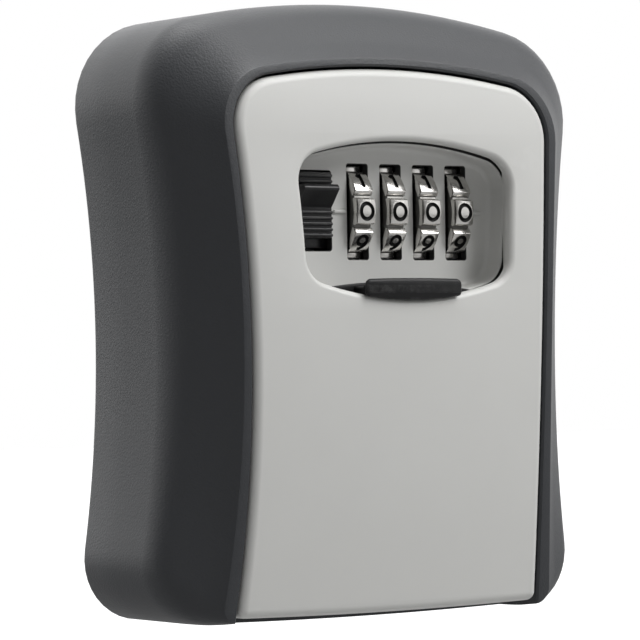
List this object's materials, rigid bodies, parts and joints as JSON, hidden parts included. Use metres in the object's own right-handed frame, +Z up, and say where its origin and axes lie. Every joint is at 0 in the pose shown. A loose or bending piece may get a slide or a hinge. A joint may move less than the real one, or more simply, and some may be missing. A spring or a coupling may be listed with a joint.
{
  "type": "key cabinet",
  "caption": "Wall-mounted key box with a waisted case, a bottom-hinged door, numbered code wheels, a sliding open lever and a weather shutter.",
  "frame": {"origin": "middle of the back plate's rear face, on the wall", "axes": "+Z up, +Y into the wall, +X to the right seen from the front"},
  "size_m": [0.102, 0.0397, 0.12],
  "materials": {
    "jacket": "fine matte texture",
    "plate": "satin powder coat",
    "liner": "satin zinc-plated steel",
    "seal": "matt",
    "bright_steel": "satin",
    "door_paint": "satin light grey",
    "chassis": "as-cast zinc grey",
    "nickel": "satin nickel",
    "brass": "satin",
    "black": "semi-gloss black",
    "spring_steel": "bright wire"
  },
  "bodies": {
    "case": {"case_shell": "jacket", "back_plate": "plate", "key_tray": "liner", "tray_seal": "seal", "key_hook": "bright_steel", "keeper": "bright_steel", "keeper_rivet_l": "bright_steel", "keeper_rivet_r": "bright_steel", "hinge_pin": "bright_steel"},
    "door": {"door_shell": "door_paint", "dial_panel": "door_paint", "door_chassis": "chassis", "mech_cover": "liner", "cover_screw_1": "bright_steel", "cover_screw_2": "bright_steel", "cover_screw_3": "bright_steel", "cover_screw_4": "bright_steel", "detent_spring": "spring_steel", "latch_spring": "spring_steel"},
    "latch": {"latch_plate": "bright_steel", "open_lever": "black", "lever_screw": "bright_steel"},
    "code_carriage": {"dial_shaft": "bright_steel", "reset_lever": "black"},
    "weather_shutter": {"shutter": "black"},
    "wheel_1": {"dial_1": "nickel"},
    "sleeve_1": {"cam_1": "brass"},
    "wheel_2": {"dial_2": "nickel"},
    "sleeve_2": {"cam_2": "brass"},
    "wheel_3": {"dial_3": "nickel"},
    "sleeve_3": {"cam_3": "brass"},
    "wheel_4": {"dial_4": "nickel"},
    "sleeve_4": {"cam_4": "brass"}
  },
  "joints": [
    {"name": "door_hinge", "type": "hinge", "parent": "case", "child": "door", "pos_m": [0, -0.02806, -0.054], "axis": [1, 0, 0], "range_deg": [0, 95]},
    {"name": "latch_slide", "type": "slide", "parent": "door", "child": "latch", "axis": [0, 0, -1], "range_m": [0, 0.0022], "stiffness_N_per_m": 200, "springref_m": -0.0015, "deforming": ["latch_spring"]},
    {"name": "shutter_slide", "type": "slide", "parent": "door", "child": "weather_shutter", "axis": [0, 0, 1], "range_m": [0, 0.0262]},
    {"name": "reset_slide", "type": "slide", "parent": "door", "child": "code_carriage", "axis": [1, 0, 0], "range_m": [0, 0.0016]},
    {"name": "dial_1_turn", "type": "hinge", "parent": "door", "child": "wheel_1", "pos_m": [-0.0042, -0.02219, 0.0191], "axis": [1, 0, 0], "continuous": true},
    {"name": "dial_2_turn", "type": "hinge", "parent": "door", "child": "wheel_2", "pos_m": [0.00385, -0.02219, 0.0191], "axis": [1, 0, 0], "continuous": true},
    {"name": "dial_3_turn", "type": "hinge", "parent": "door", "child": "wheel_3", "pos_m": [0.0119, -0.02219, 0.0191], "axis": [1, 0, 0], "continuous": true},
    {"name": "dial_4_turn", "type": "hinge", "parent": "door", "child": "wheel_4", "pos_m": [0.01995, -0.02219, 0.0191], "axis": [1, 0, 0], "continuous": true},
    {"name": "cam_1_turn", "type": "hinge", "parent": "code_carriage", "child": "sleeve_1", "pos_m": [-0.0042, -0.02219, 0.0191], "axis": [1, 0, 0], "continuous": true},
    {"name": "cam_2_turn", "type": "hinge", "parent": "code_carriage", "child": "sleeve_2", "pos_m": [0.00385, -0.02219, 0.0191], "axis": [1, 0, 0], "continuous": true},
    {"name": "cam_3_turn", "type": "hinge", "parent": "code_carriage", "child": "sleeve_3", "pos_m": [0.0119, -0.02219, 0.0191], "axis": [1, 0, 0], "continuous": true},
    {"name": "cam_4_turn", "type": "hinge", "parent": "code_carriage", "child": "sleeve_4", "pos_m": [0.01995, -0.02219, 0.0191], "axis": [1, 0, 0], "continuous": true}
  ],
  "couplings": [
    {"joint": "cam_1_turn", "follows": "dial_1_turn", "ratio": 1},
    {"joint": "cam_2_turn", "follows": "dial_2_turn", "ratio": 1},
    {"joint": "cam_3_turn", "follows": "dial_3_turn", "ratio": 1},
    {"joint": "cam_4_turn", "follows": "dial_4_turn", "ratio": 1}
  ]
}
